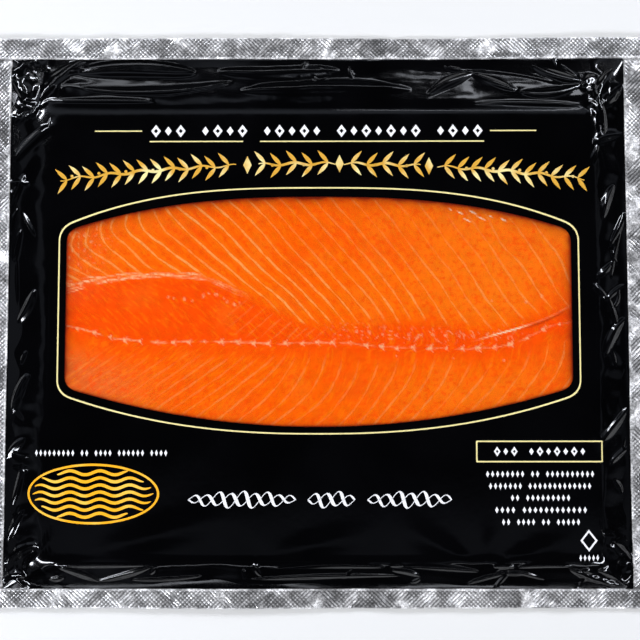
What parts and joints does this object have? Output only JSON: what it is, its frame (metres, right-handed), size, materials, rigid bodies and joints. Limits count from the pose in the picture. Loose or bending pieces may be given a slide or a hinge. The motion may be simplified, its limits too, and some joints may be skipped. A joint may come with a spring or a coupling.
{
  "type": "vacuum pack of smoked salmon",
  "caption": "Flat vacuum pack of smoked salmon: a slab of fish between clear films, with a dark printed front that leaves an arched window, and a knurled sealed border all round.",
  "frame": {"origin": "middle of the pack's base, on the surface it lies on", "axes": "+X along the pack's long side, +Y towards its top edge, +Z out of its printed front"},
  "size_m": [0.241, 0.206, 0.0087],
  "materials": {
    "clear_film": "clear laminated pouch film, glossy, silvery and knurled where it is heat sealed",
    "salmon_flesh": "moist cold-smoked salmon flesh, deep orange with paler bands of fat",
    "black_print": "glossy black print on pouch film, wrinkled where it stretches round the fish",
    "gold_print": "pale gold print, flat and glossy under the film",
    "white_print": "white print, flat and glossy under the film"
  },
  "bodies": {
    "root": {"back_film": "clear_film", "salmon_fillet": "salmon_flesh", "front_film": "clear_film", "printed_panel": "black_print"}
  },
  "joints": []
}
